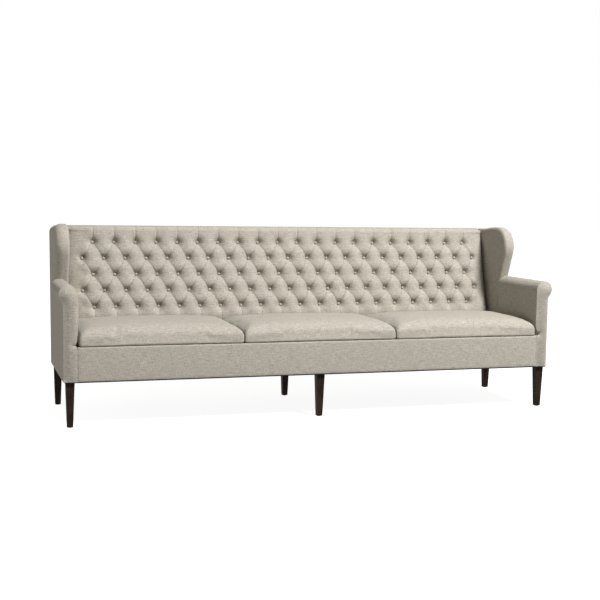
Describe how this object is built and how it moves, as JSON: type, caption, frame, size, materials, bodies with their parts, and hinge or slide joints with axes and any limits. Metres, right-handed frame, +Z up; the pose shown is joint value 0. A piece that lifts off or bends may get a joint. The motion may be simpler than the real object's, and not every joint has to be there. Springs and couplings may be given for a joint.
{
  "type": "wing-back sofa",
  "caption": "Long wing-back sofa with a diamond-tufted back, scroll arms, loose seat cushions and square tapered legs.",
  "frame": {"origin": "centre of the footprint on the floor", "axes": "+Z up, X along the sofa, the front faces -Y"},
  "size_m": [2.7958, 0.796, 1.024],
  "materials": {
    "linen": "linen-look weave, light greige, matte",
    "dark_wood": "dark brown stain, satin",
    "frame_wood": "planed beech, unfinished",
    "steel": "plain steel",
    "hemp": "jute webbing and hessian",
    "deck_felt": "felt pad under platform cloth",
    "foam": "polyurethane foam",
    "lining_cloth": "black non-woven dust cloth",
    "glide_plastic": "black nylon"
  },
  "bodies": {
    "sofa_body": {"front_rail": "frame_wood", "rear_rail": "frame_wood", "left_side_rail": "frame_wood", "right_side_rail": "frame_wood", "cross_rails": "frame_wood", "corner_blocks": "frame_wood", "block_screws": "steel", "frame_dowels": "frame_wood", "left_front_post": "frame_wood", "right_front_post": "frame_wood", "left_rear_post": "frame_wood", "right_rear_post": "frame_wood", "left_arm_rail": "frame_wood", "right_arm_rail": "frame_wood", "left_scroll_rail": "frame_wood", "right_scroll_rail": "frame_wood", "left_arm_strut": "frame_wood", "right_arm_strut": "frame_wood", "left_wing_board": "frame_wood", "right_wing_board": "frame_wood", "back_top_rail": "frame_wood", "back_lower_rail": "frame_wood", "back_uprights": "frame_wood", "back_webbing": "hemp", "back_hessian": "hemp", "seat_springs": "steel", "spring_clips": "steel", "deck_hessian": "hemp", "deck_pad": "deck_felt", "front_rail_cover": "linen", "left_arm_cover": "linen", "right_arm_cover": "linen", "left_wing_cover": "linen", "right_wing_cover": "linen", "outside_back": "linen", "tufted_back": "linen", "back_buttons": "linen", "front_left_leg": "dark_wood", "front_middle_leg": "dark_wood", "front_right_leg": "dark_wood", "rear_left_leg": "dark_wood", "rear_middle_leg": "dark_wood", "rear_right_leg": "dark_wood", "leg_bolts": "steel", "leg_inserts": "steel", "leg_glides": "glide_plastic", "dust_cover": "lining_cloth"},
    "left_cushion": {"left_cushion_cover": "linen", "left_cushion_core": "foam"},
    "middle_cushion": {"middle_cushion_cover": "linen", "middle_cushion_core": "foam"},
    "right_cushion": {"right_cushion_cover": "linen", "right_cushion_core": "foam"}
  },
  "joints": [
    {"name": "left_cushion_lift", "type": "slide", "parent": "sofa_body", "child": "left_cushion", "axis": [0, 0, 1], "range_m": [0, 0.35]},
    {"name": "middle_cushion_lift", "type": "slide", "parent": "sofa_body", "child": "middle_cushion", "axis": [0, 0, 1], "range_m": [0, 0.35]},
    {"name": "right_cushion_lift", "type": "slide", "parent": "sofa_body", "child": "right_cushion", "axis": [0, 0, 1], "range_m": [0, 0.35]}
  ]
}
